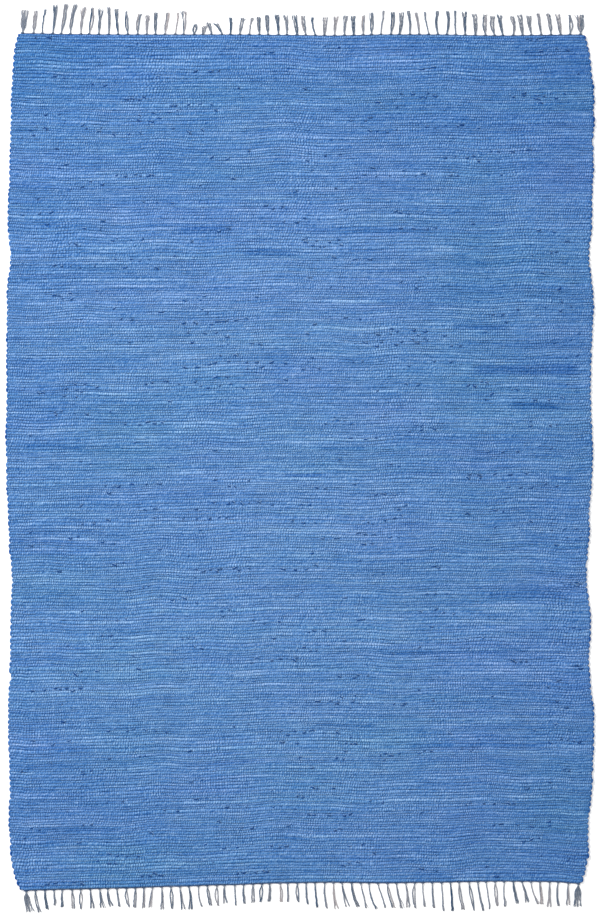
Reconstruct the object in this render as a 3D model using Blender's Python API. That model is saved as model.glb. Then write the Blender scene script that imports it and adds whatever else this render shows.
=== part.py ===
"""A rag rug lying flat: woven field, a heading cord across each end, and a warp fringe past each cord.

Metres, +Z up. The rug lies on z = 0 with its length along Y. Its far end is at +Y and its near end at -Y.
The field is pulled in unevenly along its sides, as a hand-beaten weave is, and its near end hangs longer
at the left corner. Each fringe is one comb: a narrow rail of warp along the cord, with a tooth for each
knotted tuft.
"""
import random
from collections import namedtuple

import bmesh
import bpy
from mathutils import Vector

# Woven field
WOVEN_WIDTH = 1.604          # at its widest, over both selvedges
WOVEN_LENGTH = 2.298         # where its near end hangs least
WOVEN_THICKNESS = 0.006
SELVEDGE_ROUND = 0.0018      # rounding of the rim, above and below
ROUNDING_STEPS = 2
CORNER_ROUND = 0.012
CORNER_STEPS = 4
OUTLINE_STEP = 0.036         # spacing of the outline's points
SAME_PLACE = 1e-6            # two points closer than this are one

# Heading cords
GAP = 0.0003                 # between neighbouring pieces
HEADING_WIDTH = 0.0034
HEADING_HEIGHT = 0.0036
HEADING_CHAMFER = 0.0010

# Fringes
FAR_TUFTS = 60
NEAR_TUFTS = 62
RAIL_DEPTH = 0.0028
RAIL_FRONT = HEADING_WIDTH + 2 * GAP + RAIL_DEPTH    # from the field's edge
FRINGE_THICKNESS = 0.0026
FRINGE_INSET = 0.006         # from the field's corner to the middle of the outermost tuft
TUFT_CLEARANCE = 0.0012      # least space between the tips of two tufts
PLACE_JITTER = 0.0022
LEAN_JITTER = 0.0040
REACH_JITTER = 0.0030

# How far each side is drawn in, by distance from the far end
Side = namedtuple("Side", "along left_inset right_inset")
SIDES = (
    Side(0.000, 0.032, 0.028),
    Side(0.027, 0.024, 0.020),
    Side(0.060, 0.021, 0.012),
    Side(0.174, 0.013, 0.004),
    Side(0.337, 0.010, 0.005),
    Side(0.500, 0.005, 0.009),
    Side(0.609, 0.010, 0.017),
    Side(0.718, 0.002, 0.004),
    Side(0.936, 0.002, 0.012),
    Side(1.153, 0.000, 0.007),
    Side(1.371, 0.008, 0.017),
    Side(1.480, 0.016, 0.023),
    Side(1.588, 0.013, 0.012),
    Side(1.697, 0.010, 0.017),
    Side(1.860, 0.005, 0.003),
    Side(2.024, 0.010, 0.007),
    Side(2.132, 0.008, 0.017),
    Side(2.241, 0.013, 0.018),
    Side(2.298, 0.027, 0.034),
    Side(2.323, 0.040, 0.036),
)

# How far each end goes past the woven length, by distance from the centre line
End = namedtuple("End", "across far_bulge near_hang")
ENDS = (
    End(-0.775, 0.004, 0.028),
    End(-0.715, 0.003, 0.024),
    End(-0.625, 0.001, 0.022),
    End(-0.500, 0.000, 0.019),
    End(-0.340, 0.000, 0.014),
    End(-0.210, 0.000, 0.010),
    End(-0.050, -0.001, 0.005),
    End(0.080, -0.003, 0.003),
    End(0.230, 0.000, 0.005),
    End(0.350, 0.000, 0.003),
    End(0.550, -0.003, 0.000),
    End(0.680, -0.001, 0.001),
    End(0.770, 0.000, 0.007),
)

# How the tufts lie: how far their tips go sideways and out from the field, and how wide they spread
Lay = namedtuple("Lay", "across lean reach spread")
FAR_LAY = (
    Lay(-0.770, 0.006, 0.066, 0.018),
    Lay(-0.735, 0.006, 0.064, 0.009),
    Lay(-0.700, 0.009, 0.068, 0.007),
    Lay(-0.680, 0.011, 0.086, 0.008),
    Lay(-0.560, 0.009, 0.079, 0.008),
    Lay(-0.490, -0.006, 0.074, 0.007),
    Lay(-0.440, 0.003, 0.058, 0.008),
    Lay(-0.350, 0.006, 0.065, 0.007),
    Lay(-0.305, -0.003, 0.069, 0.007),
    Lay(-0.285, 0.006, 0.027, 0.009),
    Lay(-0.215, -0.014, 0.036, 0.008),
    Lay(-0.180, 0.007, 0.050, 0.007),
    Lay(-0.050, -0.003, 0.057, 0.008),
    Lay(0.040, -0.006, 0.055, 0.009),
    Lay(0.090, 0.007, 0.057, 0.008),
    Lay(0.170, -0.002, 0.059, 0.007),
    Lay(0.240, 0.006, 0.068, 0.008),
    Lay(0.330, -0.008, 0.066, 0.007),
    Lay(0.430, 0.001, 0.070, 0.008),
    Lay(0.520, -0.005, 0.059, 0.009),
    Lay(0.670, -0.010, 0.060, 0.008),
    Lay(0.740, -0.004, 0.058, 0.008),
    Lay(0.770, -0.004, 0.058, 0.017),
)
NEAR_LAY = (
    Lay(-0.765, 0.000, 0.052, 0.017),
    Lay(-0.735, 0.008, 0.060, 0.009),
    Lay(-0.705, 0.014, 0.068, 0.007),
    Lay(-0.680, 0.004, 0.046, 0.007),
    Lay(-0.600, 0.004, 0.056, 0.008),
    Lay(-0.500, 0.010, 0.053, 0.007),
    Lay(-0.420, -0.004, 0.062, 0.007),
    Lay(-0.320, 0.007, 0.066, 0.008),
    Lay(-0.240, 0.006, 0.057, 0.008),
    Lay(-0.120, -0.002, 0.055, 0.008),
    Lay(-0.020, 0.000, 0.056, 0.007),
    Lay(0.080, 0.004, 0.076, 0.007),
    Lay(0.120, 0.018, 0.070, 0.008),
    Lay(0.240, 0.017, 0.073, 0.008),
    Lay(0.330, 0.004, 0.071, 0.007),
    Lay(0.400, 0.006, 0.081, 0.008),
    Lay(0.490, 0.014, 0.082, 0.007),
    Lay(0.540, 0.001, 0.071, 0.008),
    Lay(0.610, 0.018, 0.063, 0.008),
    Lay(0.680, 0.000, 0.071, 0.008),
    Lay(0.740, 0.000, 0.068, 0.008),
    Lay(0.765, 0.000, 0.068, 0.017),
)

# A tuft's width along its length, as shares of its spread: knot, neck, belly and cut end
Profile = namedtuple("Profile", "share width")
TUFT_PROFILE = (
    Profile(0.00, 0.52),
    Profile(0.07, 0.52),
    Profile(0.14, 0.36),
    Profile(0.50, 0.90),
    Profile(0.88, 1.00),
    Profile(1.00, 0.60),
)
TUFT_BEND = 1.25             # above 1, a tuft leaves the knot straight and leans more towards its tip

Tuft = namedtuple("Tuft", "base tip length spread")


def clear_scene():
    for item in list(bpy.data.objects):
        bpy.data.objects.remove(item, do_unlink=True)


def cotton(name, colour, roughness):
    """A matt fabric material of one colour."""
    material = bpy.data.materials.new(name)
    material.use_nodes = True
    shader = material.node_tree.nodes["Principled BSDF"]
    shader.inputs["Base Color"].default_value = (*colour, 1.0)
    shader.inputs["Roughness"].default_value = roughness
    shader.inputs["Metallic"].default_value = 0.0
    return material


def eased(rows, place, column):
    """A column of a table at a place between two of its rows, with a smooth step from row to row."""
    if place <= rows[0][0]:
        return getattr(rows[0], column)
    for low, high in zip(rows, rows[1:]):
        if place <= high[0]:
            share = (place - low[0]) / (high[0] - low[0])
            share = share * share * (3.0 - 2.0 * share)
            return getattr(low, column) * (1.0 - share) + getattr(high, column) * share
    return getattr(rows[-1], column)


def stations(start, stop, step):
    """Evenly spaced places from start to stop, both included."""
    count = max(1, round(abs(stop - start) / step))
    return [start + (stop - start) * index / count for index in range(count + 1)]


def left_x(along):
    return -WOVEN_WIDTH / 2 + eased(SIDES, along, "left_inset")


def right_x(along):
    return WOVEN_WIDTH / 2 - eased(SIDES, along, "right_inset")


def far_y(across):
    return WOVEN_LENGTH / 2 + eased(ENDS, across, "far_bulge")


def near_y(across):
    return -WOVEN_LENGTH / 2 - eased(ENDS, across, "near_hang")


def end_reaches():
    """The two x positions between which the far edge runs, then those of the near edge."""
    far = (left_x(0.0), right_x(0.0))
    near = (left_x(SIDES[-1].along), right_x(WOVEN_LENGTH))
    return far, near


def field_outline():
    """The field's outline as four runs of points, clockwise from the far left corner."""
    (far_left, far_right), (near_left, near_right) = end_reaches()
    far = [(x, far_y(x)) for x in stations(far_left, far_right, OUTLINE_STEP)]
    near = [(x, near_y(x)) for x in stations(near_right, near_left, OUTLINE_STEP)]
    right_run = stations(far[-1][1], near[0][1], OUTLINE_STEP)[1:-1]
    left_run = stations(near[-1][1], far[0][1], OUTLINE_STEP)[1:-1]
    right = [(right_x(WOVEN_LENGTH / 2 - y), y) for y in right_run]
    left = [(left_x(WOVEN_LENGTH / 2 - y), y) for y in left_run]
    return far, right, near, left


def finish_object(name, mesh_data, material):
    """Turns a bmesh into a named object with outward faces and one material."""
    bmesh.ops.recalc_face_normals(mesh_data, faces=mesh_data.faces)
    mesh = bpy.data.meshes.new(name)
    mesh_data.to_mesh(mesh)
    mesh_data.free()
    mesh.materials.append(material)
    piece = bpy.data.objects.new(name, mesh)
    bpy.context.scene.collection.objects.link(piece)
    return piece


def raise_face(mesh_data, face, height):
    """Extrudes a flat face straight up into a closed slab."""
    raised = bmesh.ops.extrude_face_region(mesh_data, geom=[face])
    top = [item for item in raised["geom"] if isinstance(item, bmesh.types.BMVert)]
    bmesh.ops.translate(mesh_data, verts=top, vec=(0.0, 0.0, height))


def is_at_one_of(vert, spots):
    return any((vert.co.xy - Vector(spot)).length < SAME_PLACE for spot in spots)


def build_field(material):
    """The woven field: a flat slab with rounded corners and a soft rim."""
    mesh_data = bmesh.new()
    far, right, near, left = field_outline()
    corners = (far[0], far[-1], near[0], near[-1])
    outline = far + right + near + left
    face = mesh_data.faces.new([mesh_data.verts.new((x, y, 0.0)) for x, y in outline])
    corner_verts = [vert for vert in face.verts if is_at_one_of(vert, corners)]
    bmesh.ops.bevel(
        mesh_data,
        geom=corner_verts,
        offset=CORNER_ROUND,
        offset_type="OFFSET",
        segments=CORNER_STEPS,
        profile=0.5,
        affect="VERTICES",
    )
    mesh_data.faces.ensure_lookup_table()
    raise_face(mesh_data, mesh_data.faces[0], WOVEN_THICKNESS)
    rim = [edge for edge in mesh_data.edges if edge.verts[0].co.z == edge.verts[1].co.z]
    bmesh.ops.bevel(
        mesh_data,
        geom=rim,
        offset=SELVEDGE_ROUND,
        offset_type="OFFSET",
        segments=ROUNDING_STEPS,
        profile=0.5,
        affect="EDGES",
        clamp_overlap=True,
    )
    return finish_object("woven_field", mesh_data, material)


def build_heading(name, reach, edge_y, outward, material):
    """A heading cord: a flat-bottomed strip with softened edges, swept along one end of the field."""
    inner = GAP
    outer = GAP + HEADING_WIDTH
    section = (
        (inner, 0.0),
        (outer, 0.0),
        (outer, HEADING_HEIGHT - HEADING_CHAMFER),
        (outer - HEADING_CHAMFER, HEADING_HEIGHT),
        (inner + HEADING_CHAMFER, HEADING_HEIGHT),
        (inner, HEADING_HEIGHT - HEADING_CHAMFER),
    )
    mesh_data = bmesh.new()
    rings = []
    for x in stations(reach[0] + CORNER_ROUND, reach[1] - CORNER_ROUND, OUTLINE_STEP):
        rings.append([mesh_data.verts.new((x, edge_y(x) + outward * out, up)) for out, up in section])
    for ring, following in zip(rings, rings[1:]):
        for index in range(len(section)):
            after = (index + 1) % len(section)
            mesh_data.faces.new((ring[index], ring[after], following[after], following[index]))
    mesh_data.faces.new(rings[0])
    mesh_data.faces.new(rings[-1])
    return finish_object(name, mesh_data, material)


def lay_out_tufts(count, reach, lay, seed):
    """Spaces the tufts along an end, and keeps each tip clear of the one before it."""
    dice = random.Random(seed)
    first = reach[0] + CORNER_ROUND + FRINGE_INSET
    last = reach[1] - CORNER_ROUND - FRINGE_INSET
    pitch = (last - first) / (count - 1)
    tufts = []
    for index in range(count):
        even = first + pitch * index
        spread = eased(lay, even, "spread")
        base = even + dice.uniform(-PLACE_JITTER, PLACE_JITTER)
        tip = base + eased(lay, even, "lean") + dice.uniform(-LEAN_JITTER, LEAN_JITTER)
        length = eased(lay, even, "reach") - RAIL_FRONT + dice.uniform(-REACH_JITTER, REACH_JITTER)
        if tufts:
            room = (tufts[-1].spread + spread) / 2 + TUFT_CLEARANCE
            tip = max(tip, tufts[-1].tip + room)
        tufts.append(Tuft(base, tip, length, spread))
    return tufts


def tuft_outline(tuft, rail_y, outward):
    """One tooth of the comb, from its foot on the left round its tip to its foot on the right."""
    left = []
    right = []
    for station in TUFT_PROFILE:
        x = tuft.base + (tuft.tip - tuft.base) * station.share ** TUFT_BEND
        y = rail_y + outward * tuft.length * station.share
        half = tuft.spread * station.width / 2
        left.append((x - half, y))
        right.append((x + half, y))
    return left + right[::-1]


def build_fringe(name, reach, edge_y, outward, tufts, material):
    """A fringe comb: the rail follows the heading cord, and each tuft is a tooth on its outer side."""
    ends = (reach[0] + CORNER_ROUND, reach[1] - CORNER_ROUND)
    back_offset = outward * (RAIL_FRONT - RAIL_DEPTH)
    back = [(x, edge_y(x) + back_offset) for x in stations(ends[0], ends[1], OUTLINE_STEP)]
    front = []
    for tuft in tufts:
        front += tuft_outline(tuft, edge_y(tuft.base) + outward * RAIL_FRONT, outward)
    mesh_data = bmesh.new()
    outline = back + front[::-1]
    face = mesh_data.faces.new([mesh_data.verts.new((x, y, 0.0)) for x, y in outline])
    raise_face(mesh_data, face, FRINGE_THICKNESS)
    return finish_object(name, mesh_data, material)


def centre_over_origin(pieces):
    """Moves all the pieces together, so that the middle of the rug's outer box is over the origin."""
    corners = [vertex.co for piece in pieces for vertex in piece.data.vertices]
    middle_x = (min(spot.x for spot in corners) + max(spot.x for spot in corners)) / 2
    middle_y = (min(spot.y for spot in corners) + max(spot.y for spot in corners)) / 2
    for piece in pieces:
        piece.location = (-middle_x, -middle_y, 0.0)


def build_rug():
    clear_scene()
    rags = cotton("blue_rag_cotton", (0.107, 0.242, 0.521), 0.90)
    cord = cotton("dark_heading_cotton", (0.050, 0.082, 0.150), 0.85)
    warp = cotton("slate_warp_cotton", (0.190, 0.212, 0.268), 0.85)
    far_reach, near_reach = end_reaches()
    far_tufts = lay_out_tufts(FAR_TUFTS, far_reach, FAR_LAY, seed=11)
    near_tufts = lay_out_tufts(NEAR_TUFTS, near_reach, NEAR_LAY, seed=23)
    pieces = [
        build_field(rags),
        build_heading("heading_far", far_reach, far_y, 1.0, cord),
        build_heading("heading_near", near_reach, near_y, -1.0, cord),
        build_fringe("fringe_far", far_reach, far_y, 1.0, far_tufts, warp),
        build_fringe("fringe_near", near_reach, near_y, -1.0, near_tufts, warp),
    ]
    centre_over_origin(pieces)


build_rug()
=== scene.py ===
"""The looks of the rag rug: rows of rag weft, a twisted heading cord at each end, and knotted warp fringes.

Everything is in metres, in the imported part's frame: the rug lies on z = 0 with its length along Y.
The far end is at +Y. "Tone" is lightness in steps of the 8-bit display scale, added to the rug's mid blue.
"""
import math
import random
from collections import namedtuple

import bpy
import numpy as np
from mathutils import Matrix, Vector


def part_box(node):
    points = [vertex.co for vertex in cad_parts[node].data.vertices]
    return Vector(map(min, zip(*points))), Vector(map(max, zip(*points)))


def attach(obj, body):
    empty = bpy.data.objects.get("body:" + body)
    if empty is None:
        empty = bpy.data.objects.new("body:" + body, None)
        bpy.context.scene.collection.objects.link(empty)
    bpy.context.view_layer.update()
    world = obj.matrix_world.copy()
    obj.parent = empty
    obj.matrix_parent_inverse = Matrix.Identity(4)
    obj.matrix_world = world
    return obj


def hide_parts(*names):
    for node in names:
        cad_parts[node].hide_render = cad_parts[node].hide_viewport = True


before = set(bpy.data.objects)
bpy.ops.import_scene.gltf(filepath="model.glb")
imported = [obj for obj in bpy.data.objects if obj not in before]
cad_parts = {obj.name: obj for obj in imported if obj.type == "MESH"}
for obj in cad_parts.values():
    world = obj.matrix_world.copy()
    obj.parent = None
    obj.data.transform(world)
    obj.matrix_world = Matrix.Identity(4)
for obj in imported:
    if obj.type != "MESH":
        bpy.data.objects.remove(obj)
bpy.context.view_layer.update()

# Rag weft
ROWS = 296
BANDS = 8  # shuttle-loads of rag, one mesh each
ROWS_PER_BAND = ROWS // BANDS
WARP_ENDS = 504  # across the rug
END_SPACING = 0.00317  # middle to middle
WARP_CROWDING = 0.13  # how unevenly the ends are spaced
CROWDING_KNOTS = 0.06
CROWDING_KEPT = 0.965  # from row to row
LINE_POINTS = 260  # places across the rug at which the rows are worked out
LINE_REACH = 0.82  # of those places, each way from the middle
PATCH_REACH = 1.25  # of the patches of tone, along the rug each way
ROW_SEGMENTS = 132
END_STEPS = (0.0, 0.0025, 0.0055, 0.0095)  # closer stations by the selvedges
END_ROOM = 0.015  # from a row's end to its first even station
RAG_SIDES = 8
RAG_HALF_HEIGHT = 0.0029
RAG_OVERLAP = 1.12  # a row's width over its share of the length, because rows press together
RAG_SQUARENESS = 2.7  # 2 gives an ellipse, more a squarer section
HEIGHT_UNEVENNESS = 0.09
WIDTH_UNEVENNESS = 0.06
REST_GAP = 0.0001  # under the rows and the fringe
WALL_MARGIN = 0.0015  # of the CAD field's wall, above and below which its rim is rounded
SIDE_PARTS = 32  # the wall's points in the outermost of this many parts of the width belong to a side
END_PARTS = 30  # and in the outermost of this many parts of the length, to an end
PLUMP_LENGTH = 0.03  # over which the height's unevenness forgets itself
SQUEEZE_LENGTH = 0.01  # and the width's
BEAT_UNEVENNESS = 0.15  # row to row, as a share of the row's width
ROW_WIDTHS = (0.66, 1.45)  # least and most, as shares of an even row's
LEAST_CROWDING = 0.4
WANDER = 0.0020  # sideways drift of a row, most of which it takes over from the row before
WANDER_KEPT = 0.93
WANDER_KNOTS = 0.11  # spacing of the places where rows may bend
SETTLING_ROWS = 6  # over which the wander fades out towards each end
TURN_REACH = 0.0020  # how far the weft's turn goes past the end of the row
TURN_NARROWING = 0.72
TURN_UNEVENNESS = 0.0009
TURN_KEPT = 0.6  # of a turn's unevenness, in the next turn
LOOSE_TURNS = 0.07  # share of turns that stick out
LOOSE_REACH = 0.0024
LOOSE_SHARES = (0.4, 1.0)  # of that reach
TURN_SQUARENESS = 3.0
CORNER_ROWS = 0.007  # at each end of a side, where the rows' ends round the corner off
TURN_ANGLES = (64.0, 30.0, 0.0, -30.0, -64.0)

# Ends and folds of rag that stand proud of the rows: a tube painted dark as the shade of a crease, and beside
# it a tube painted light as a lit ridge
TAILS = 104  # in a band
TAIL_STATIONS = 6
TAIL_SIDES = 6
TAIL_LENGTHS = (0.006, 0.017)
TAIL_TURN = 1.5  # radians of bend along it
TAIL_SLANT = 0.26  # radians off the row
TAIL_SIDE = 0.76  # how far out they lie
TAIL_OFF_ROW = 0.003
TAIL_LEVEL = 0.0053  # of its middle, above the floor
TAIL_RISE = 0.0007
TAIL_END = 0.35  # an end's thickness as a share of the middle's
TAIL_BLUNTNESS = 0.6
TAIL_WIDTHS = (0.75, 1.25)  # from tail to tail, as shares
TAIL_LUMPS = (0.75, 1.2)  # along a tail
TAIL_TONE = 7.0
TAIL_HALF_HEIGHT = 0.0010
TAIL_NEIGHBOUR = 0.45  # share of tails that lie close to the one before
TAIL_GAP = (0.012, 0.045)
TailKind = namedtuple("TailKind", "offset half_width tone")
TAIL_KINDS = (
    # The first kind's tone is painted shade of a crease, the second's a painted highlight.
    TailKind(0.0, 0.00190, -60.0),
    TailKind(0.0030, 0.00160, 16.0),
)

# Where things lie in the baked picture of a stretch of rag
PICTURE_LOW = 0.015
PICTURE_SPAN = 0.97
TAIL_CHART = 0.94  # from here up it belongs to the tails
TAIL_CHART_SPAN = 0.045
TAIL_CAPS = 0.993
CHART_SPARE = 1.03  # room for the turns beyond a half row's warp ends
ROW_MARGIN = 0.001  # keeps a row's map off its neighbours' rows

# Twisted heading cord
HEADING_PLIES = 2
HEADING_TURN = 0.0085  # length of one turn of the twist
HEADING_STEPS = 7  # stations in a turn
PLY_RADIUS = 0.00095
PLY_ORBIT = 0.00070
HEADING_SIDES = 6
HEADING_OVERHANG = 0.006
HEADING_TONE = 7.0
HEADING_STREAK = 20.0  # stations over which a ply's tone forgets itself
HEADING_CELL = 14  # rings in a cell of the baked picture
BAKE_COLUMNS = 64  # cells across it
TUFT_PULL = 0.0012  # how far a tuft pulls the cord out, and over what reach each way
TUFT_PULL_REACH = 0.008

# Fringe yarns. The tufts lie where the CAD combs have their teeth.
FAR_TUFTS = 60
NEAR_TUFTS = 62
FAR_SEED = 11
NEAR_SEED = 23
FAR_OPENNESS = 1.45  # how loosely the far tufts' yarns lie
NEAR_OPENNESS = 0.95
FRINGE_INSET = 0.006
TUFT_CLEARANCE = 0.0012
PLACE_JITTER = 0.0022
LEAN_JITTER = 0.0040
REACH_JITTER = 0.0030
YARNS = 8  # warp ends in a tuft
YARN_RADIUS = 0.00078
YARN_SIDES = 5
KNOT_OUT = 0.0042  # from the field's edge to the middle of the knot
KNOT_REACH = 0.0023
KNOT_YARN = 0.0010
KNOT_STATIONS = 15
KNOT_TURNS = 1.45
KNOT_HALF_LENGTH = 0.0011
KNOT_LEVEL = 0.00235
KNOT_RISE = 0.00150
CORNER_KNOT = 1.4  # times as wide
GATHER_SHARES = (0.0, 0.45, 1.0)
FREE_SHARES = (0.05, 0.14, 0.26, 0.40, 0.54, 0.68, 0.82, 0.92, 1.0)
ROOT_INSET = 0.0012  # inside the field's edge
ROOT_WIDTH = 0.017
NECK_WIDTH = 0.0030
NECK_LIFT = 0.0009
NECK_STAGGER = 0.0004
TUFT_BOW = 0.0018
CLUMP_WAVE = 0.0007
YARN_WAVE = 0.0003
OPEN_BY = 0.35  # share of the free length by which a tuft is as wide as its middle
CLOSE_FROM = 0.50  # and from which it changes to its tip's width
KNOT_FADE = 0.12  # by which the yarns come down from the knot
KNOT_LIFT = 0.0010
PILE = 0.0014  # height of the yarns' pile
PILE_FALL = 0.4  # how much of it is lost at the tips
NECK_LOOSENESS = 0.4  # of a tuft's yarns by the knot, as a share of the looseness further out
LEAN_POWER = 1.25
YARN_RADII = (0.85, 1.15)  # from yarn to yarn, as shares
TIP_RADIUS = 0.7

# Spreads of tone from tuft to tuft, clump to clump and yarn to yarn, and the tone along a yarn and in a knot
TUFT_TONE = 6.0
CLUMP_TONE = 11.0
YARN_TONE = 10.0
ROOT_TONE = -6.0
TIP_TONE = 8.0
KNOT_TONE = -14.0
KNOT_TONE_SPREAD = 4.0

Lay = namedtuple("Lay", "across lean reach spread")
FAR_LAY = [Lay(*row) for row in (
    (-0.770, 0.006, 0.066, 0.018),
    (-0.735, 0.006, 0.064, 0.009),
    (-0.700, 0.009, 0.068, 0.007),
    (-0.680, 0.011, 0.086, 0.008),
    (-0.560, 0.009, 0.079, 0.008),
    (-0.490, -0.006, 0.074, 0.007),
    (-0.440, 0.003, 0.058, 0.008),
    (-0.350, 0.006, 0.065, 0.007),
    (-0.305, -0.003, 0.069, 0.007),
    (-0.285, 0.006, 0.027, 0.009),
    (-0.215, -0.014, 0.036, 0.008),
    (-0.180, 0.007, 0.050, 0.007),
    (-0.050, -0.003, 0.057, 0.008),
    (0.040, -0.006, 0.055, 0.009),
    (0.090, 0.007, 0.057, 0.008),
    (0.170, -0.002, 0.059, 0.007),
    (0.240, 0.006, 0.068, 0.008),
    (0.330, -0.008, 0.066, 0.007),
    (0.430, 0.001, 0.070, 0.008),
    (0.520, -0.005, 0.059, 0.009),
    (0.670, -0.010, 0.060, 0.008),
    (0.740, -0.004, 0.058, 0.008),
    (0.770, -0.004, 0.058, 0.017),
)]
NEAR_LAY = [Lay(*row) for row in (
    (-0.765, 0.000, 0.052, 0.017),
    (-0.735, 0.008, 0.060, 0.009),
    (-0.705, 0.014, 0.068, 0.007),
    (-0.680, 0.004, 0.046, 0.007),
    (-0.600, 0.004, 0.056, 0.008),
    (-0.500, 0.010, 0.053, 0.007),
    (-0.420, -0.004, 0.062, 0.007),
    (-0.320, 0.007, 0.066, 0.008),
    (-0.240, 0.006, 0.057, 0.008),
    (-0.120, -0.002, 0.055, 0.008),
    (-0.020, 0.000, 0.056, 0.007),
    (0.080, 0.004, 0.076, 0.007),
    (0.120, 0.018, 0.070, 0.008),
    (0.240, 0.017, 0.073, 0.008),
    (0.330, 0.004, 0.071, 0.007),
    (0.400, 0.006, 0.081, 0.008),
    (0.490, 0.014, 0.082, 0.007),
    (0.540, 0.001, 0.071, 0.008),
    (0.610, 0.018, 0.063, 0.008),
    (0.680, 0.000, 0.071, 0.008),
    (0.740, 0.000, 0.068, 0.008),
    (0.765, 0.000, 0.068, 0.017),
)]
Tuft = namedtuple("Tuft", "base tip length spread")

# How a tuft's yarns lie. They hang in clumps. Apart is between the outermost clumps' middles, and loose is a
# clump's own width, both as shares of the tuft's spread. Twist is in turns, and ragged in metres.
Style = namedtuple("Style", "weight clumps apart_mid apart_tip loose_mid loose_tip twist ragged")
STYLES = [Style(*row) for row in (
    (0.18, 1, 0.00, 0.00, 0.55, 0.72, 0.9, 0.0016),
    (0.16, 1, 0.00, 0.00, 0.80, 1.10, 0.3, 0.0026),
    (0.20, 2, 0.75, 0.70, 0.26, 0.40, 0.7, 0.0022),
    (0.14, 2, 0.95, 0.25, 0.24, 0.34, 0.8, 0.0018),
    (0.18, 2, 0.35, 1.00, 0.36, 0.40, 0.6, 0.0030),
    (0.14, 1, 0.00, 0.00, 0.30, 0.46, 1.6, 0.0012),
)]
CORNER_STYLE = Style(1.0, 3, 0.70, 0.90, 0.14, 0.18, 0.7, 0.0030)
CORNER_SPREAD = 0.012  # a tuft wider than this is a corner tuft
CORNER_SPREAD_WIDE = 0.017
CORNER_SHIFT = 0.004  # outwards
CORNER_LAYERS = 2  # bunches of eight in a corner tuft
STRAY_SHARE = 0.05  # of the yarns
STRAY_REACH = 0.010
STRAY_SHARES = (0.3, 1.0)  # of that reach
STRAY_FROM = 0.25
STRAY_POWER = 1.5

# Stretches of rag that stand out. Up is the y of the first of their rows, at their middle.
Accent = namedtuple("Accent", "left right up rows tone tint")
ACCENTS = [Accent(*row) for row in (
    (0.462, 0.769, 0.249, 3, -27, 1.8),
    (0.557, 0.720, 0.143, 2, -34, 0.0),
    (-0.341, -0.178, 0.619, 2, -24, 0.4),
    (0.013, 0.366, 0.627, 2, -18, 0.0),
    (-0.164, -0.001, 0.562, 2, -22, 0.5),
    (0.407, 0.570, 0.363, 2, -22, 1.0),
    (0.040, 0.190, 0.029, 1, -22, 0.0),
    (-0.776, -0.572, 0.037, 2, -18, 0.0),
    (-0.436, -0.354, -0.029, 1, -26, 0.0),
    (-0.055, 0.081, -0.050, 1, -22, 0.6),
    (0.666, 0.769, -0.058, 1, -24, 1.2),
    (-0.762, -0.545, -0.197, 1, -18, 0.0),
    (0.258, 0.366, -0.181, 1, -22, 0.8),
    (0.489, 0.761, -0.371, 2, -20, 0.4),
    (0.190, 0.625, -0.521, 2, -20, 0.0),
    (0.026, 0.217, -0.730, 1, -22, 0.6),
    (0.271, 0.679, -0.779, 1, -18, 0.0),
    (-0.545, -0.450, -0.825, 1, -24, 0.0),
    (-0.164, 0.000, 0.703, 1, 24, -1.8),
    (0.067, 0.230, 0.426, 1, 26, -0.4),
    (0.013, 0.271, 0.350, 1, 28, -0.6),
    (-0.436, -0.218, 0.273, 1, 22, 0.0),
    (0.339, 0.434, 0.570, 1, 24, 0.0),
    (-0.735, -0.545, -0.222, 1, 20, 0.0),
    (-0.150, -0.082, -0.265, 1, 26, -0.5),
    (0.135, 0.353, -0.268, 1, 22, 0.0),
    (0.448, 0.679, -0.401, 1, 20, 0.0),
    (-0.490, -0.368, -0.385, 1, 22, 0.0),
    (-0.191, -0.082, -0.592, 1, 24, -0.4),
    (0.190, 0.258, -0.597, 1, 26, 0.0),
    (0.176, 0.312, -0.793, 1, 22, 0.0),
)]
ACCENT_FADE = 0.03  # length over which an accent comes in and goes out
ACCENT_COVER = 0.65  # how much of the tone beneath it an accent hides
ACCENT_ROW_WEIGHT = 100.0  # how much more the right row counts than the right place along it
EDGE_TONE = 72.0  # how much darker the weft's turns are
EDGE_WIDTH = 0.0052

# Painted light falloff: the middle of the rug is painted paler than its ends and its right side, as light that
# falls off towards them
Fade = namedtuple("Fade", "place tone")
FALLOFF_ALONG = [Fade(*row) for row in (
    (-1.16, -8.0),
    (-0.80, -0.8),
    (-0.40, 2.0),
    (0.00, 0.5),
    (0.45, 0.6),
    (0.75, -2.5),
    (1.14, -11.0),
)]
FALLOFF_ACROSS = [Fade(*row) for row in (
    (-0.80, -5.5),
    (-0.55, -1.8),
    (-0.18, 2.0),
    (0.10, 3.2),
    (0.40, -2.0),
    (0.80, -7.5),
)]

# Tone along the rag
STREAK_TONE = 2.2
STREAK_LENGTH = 0.11  # over which the tone forgets itself
STRIP_TONE = 3.4
STRIP_LENGTHS = (0.22, 1.20)  # shortest and longest strip of rag between two joins
TINT_LENGTH = 0.16
ROW_TINT = 0.4
STRIP_TINT = 0.3
PATCH_TONE = 1.5  # broad patches, over many rows
PATCH_SIZE = (0.16, 0.035)  # across and along the rug
BROAD_TONE = 1.2
BROAD_SIZE = (0.35, 0.12)
PATCH_TINT = 0.7
TINT_SIZE = (0.24, 0.11)
TINT_CHANGE = (0.0150, -0.0130, 0.0125)  # of the linear colour, for each step of tint towards violet

MID_BLUE = (92, 135, 191)
TONE_SHARES = (1.36, 1.00, 0.71)  # what a step of tone adds to red, green and blue
COLOUR_GAIN = (0.524, 0.685, 0.766)  # what the paint gets, over the colour that should show under this light
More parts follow.
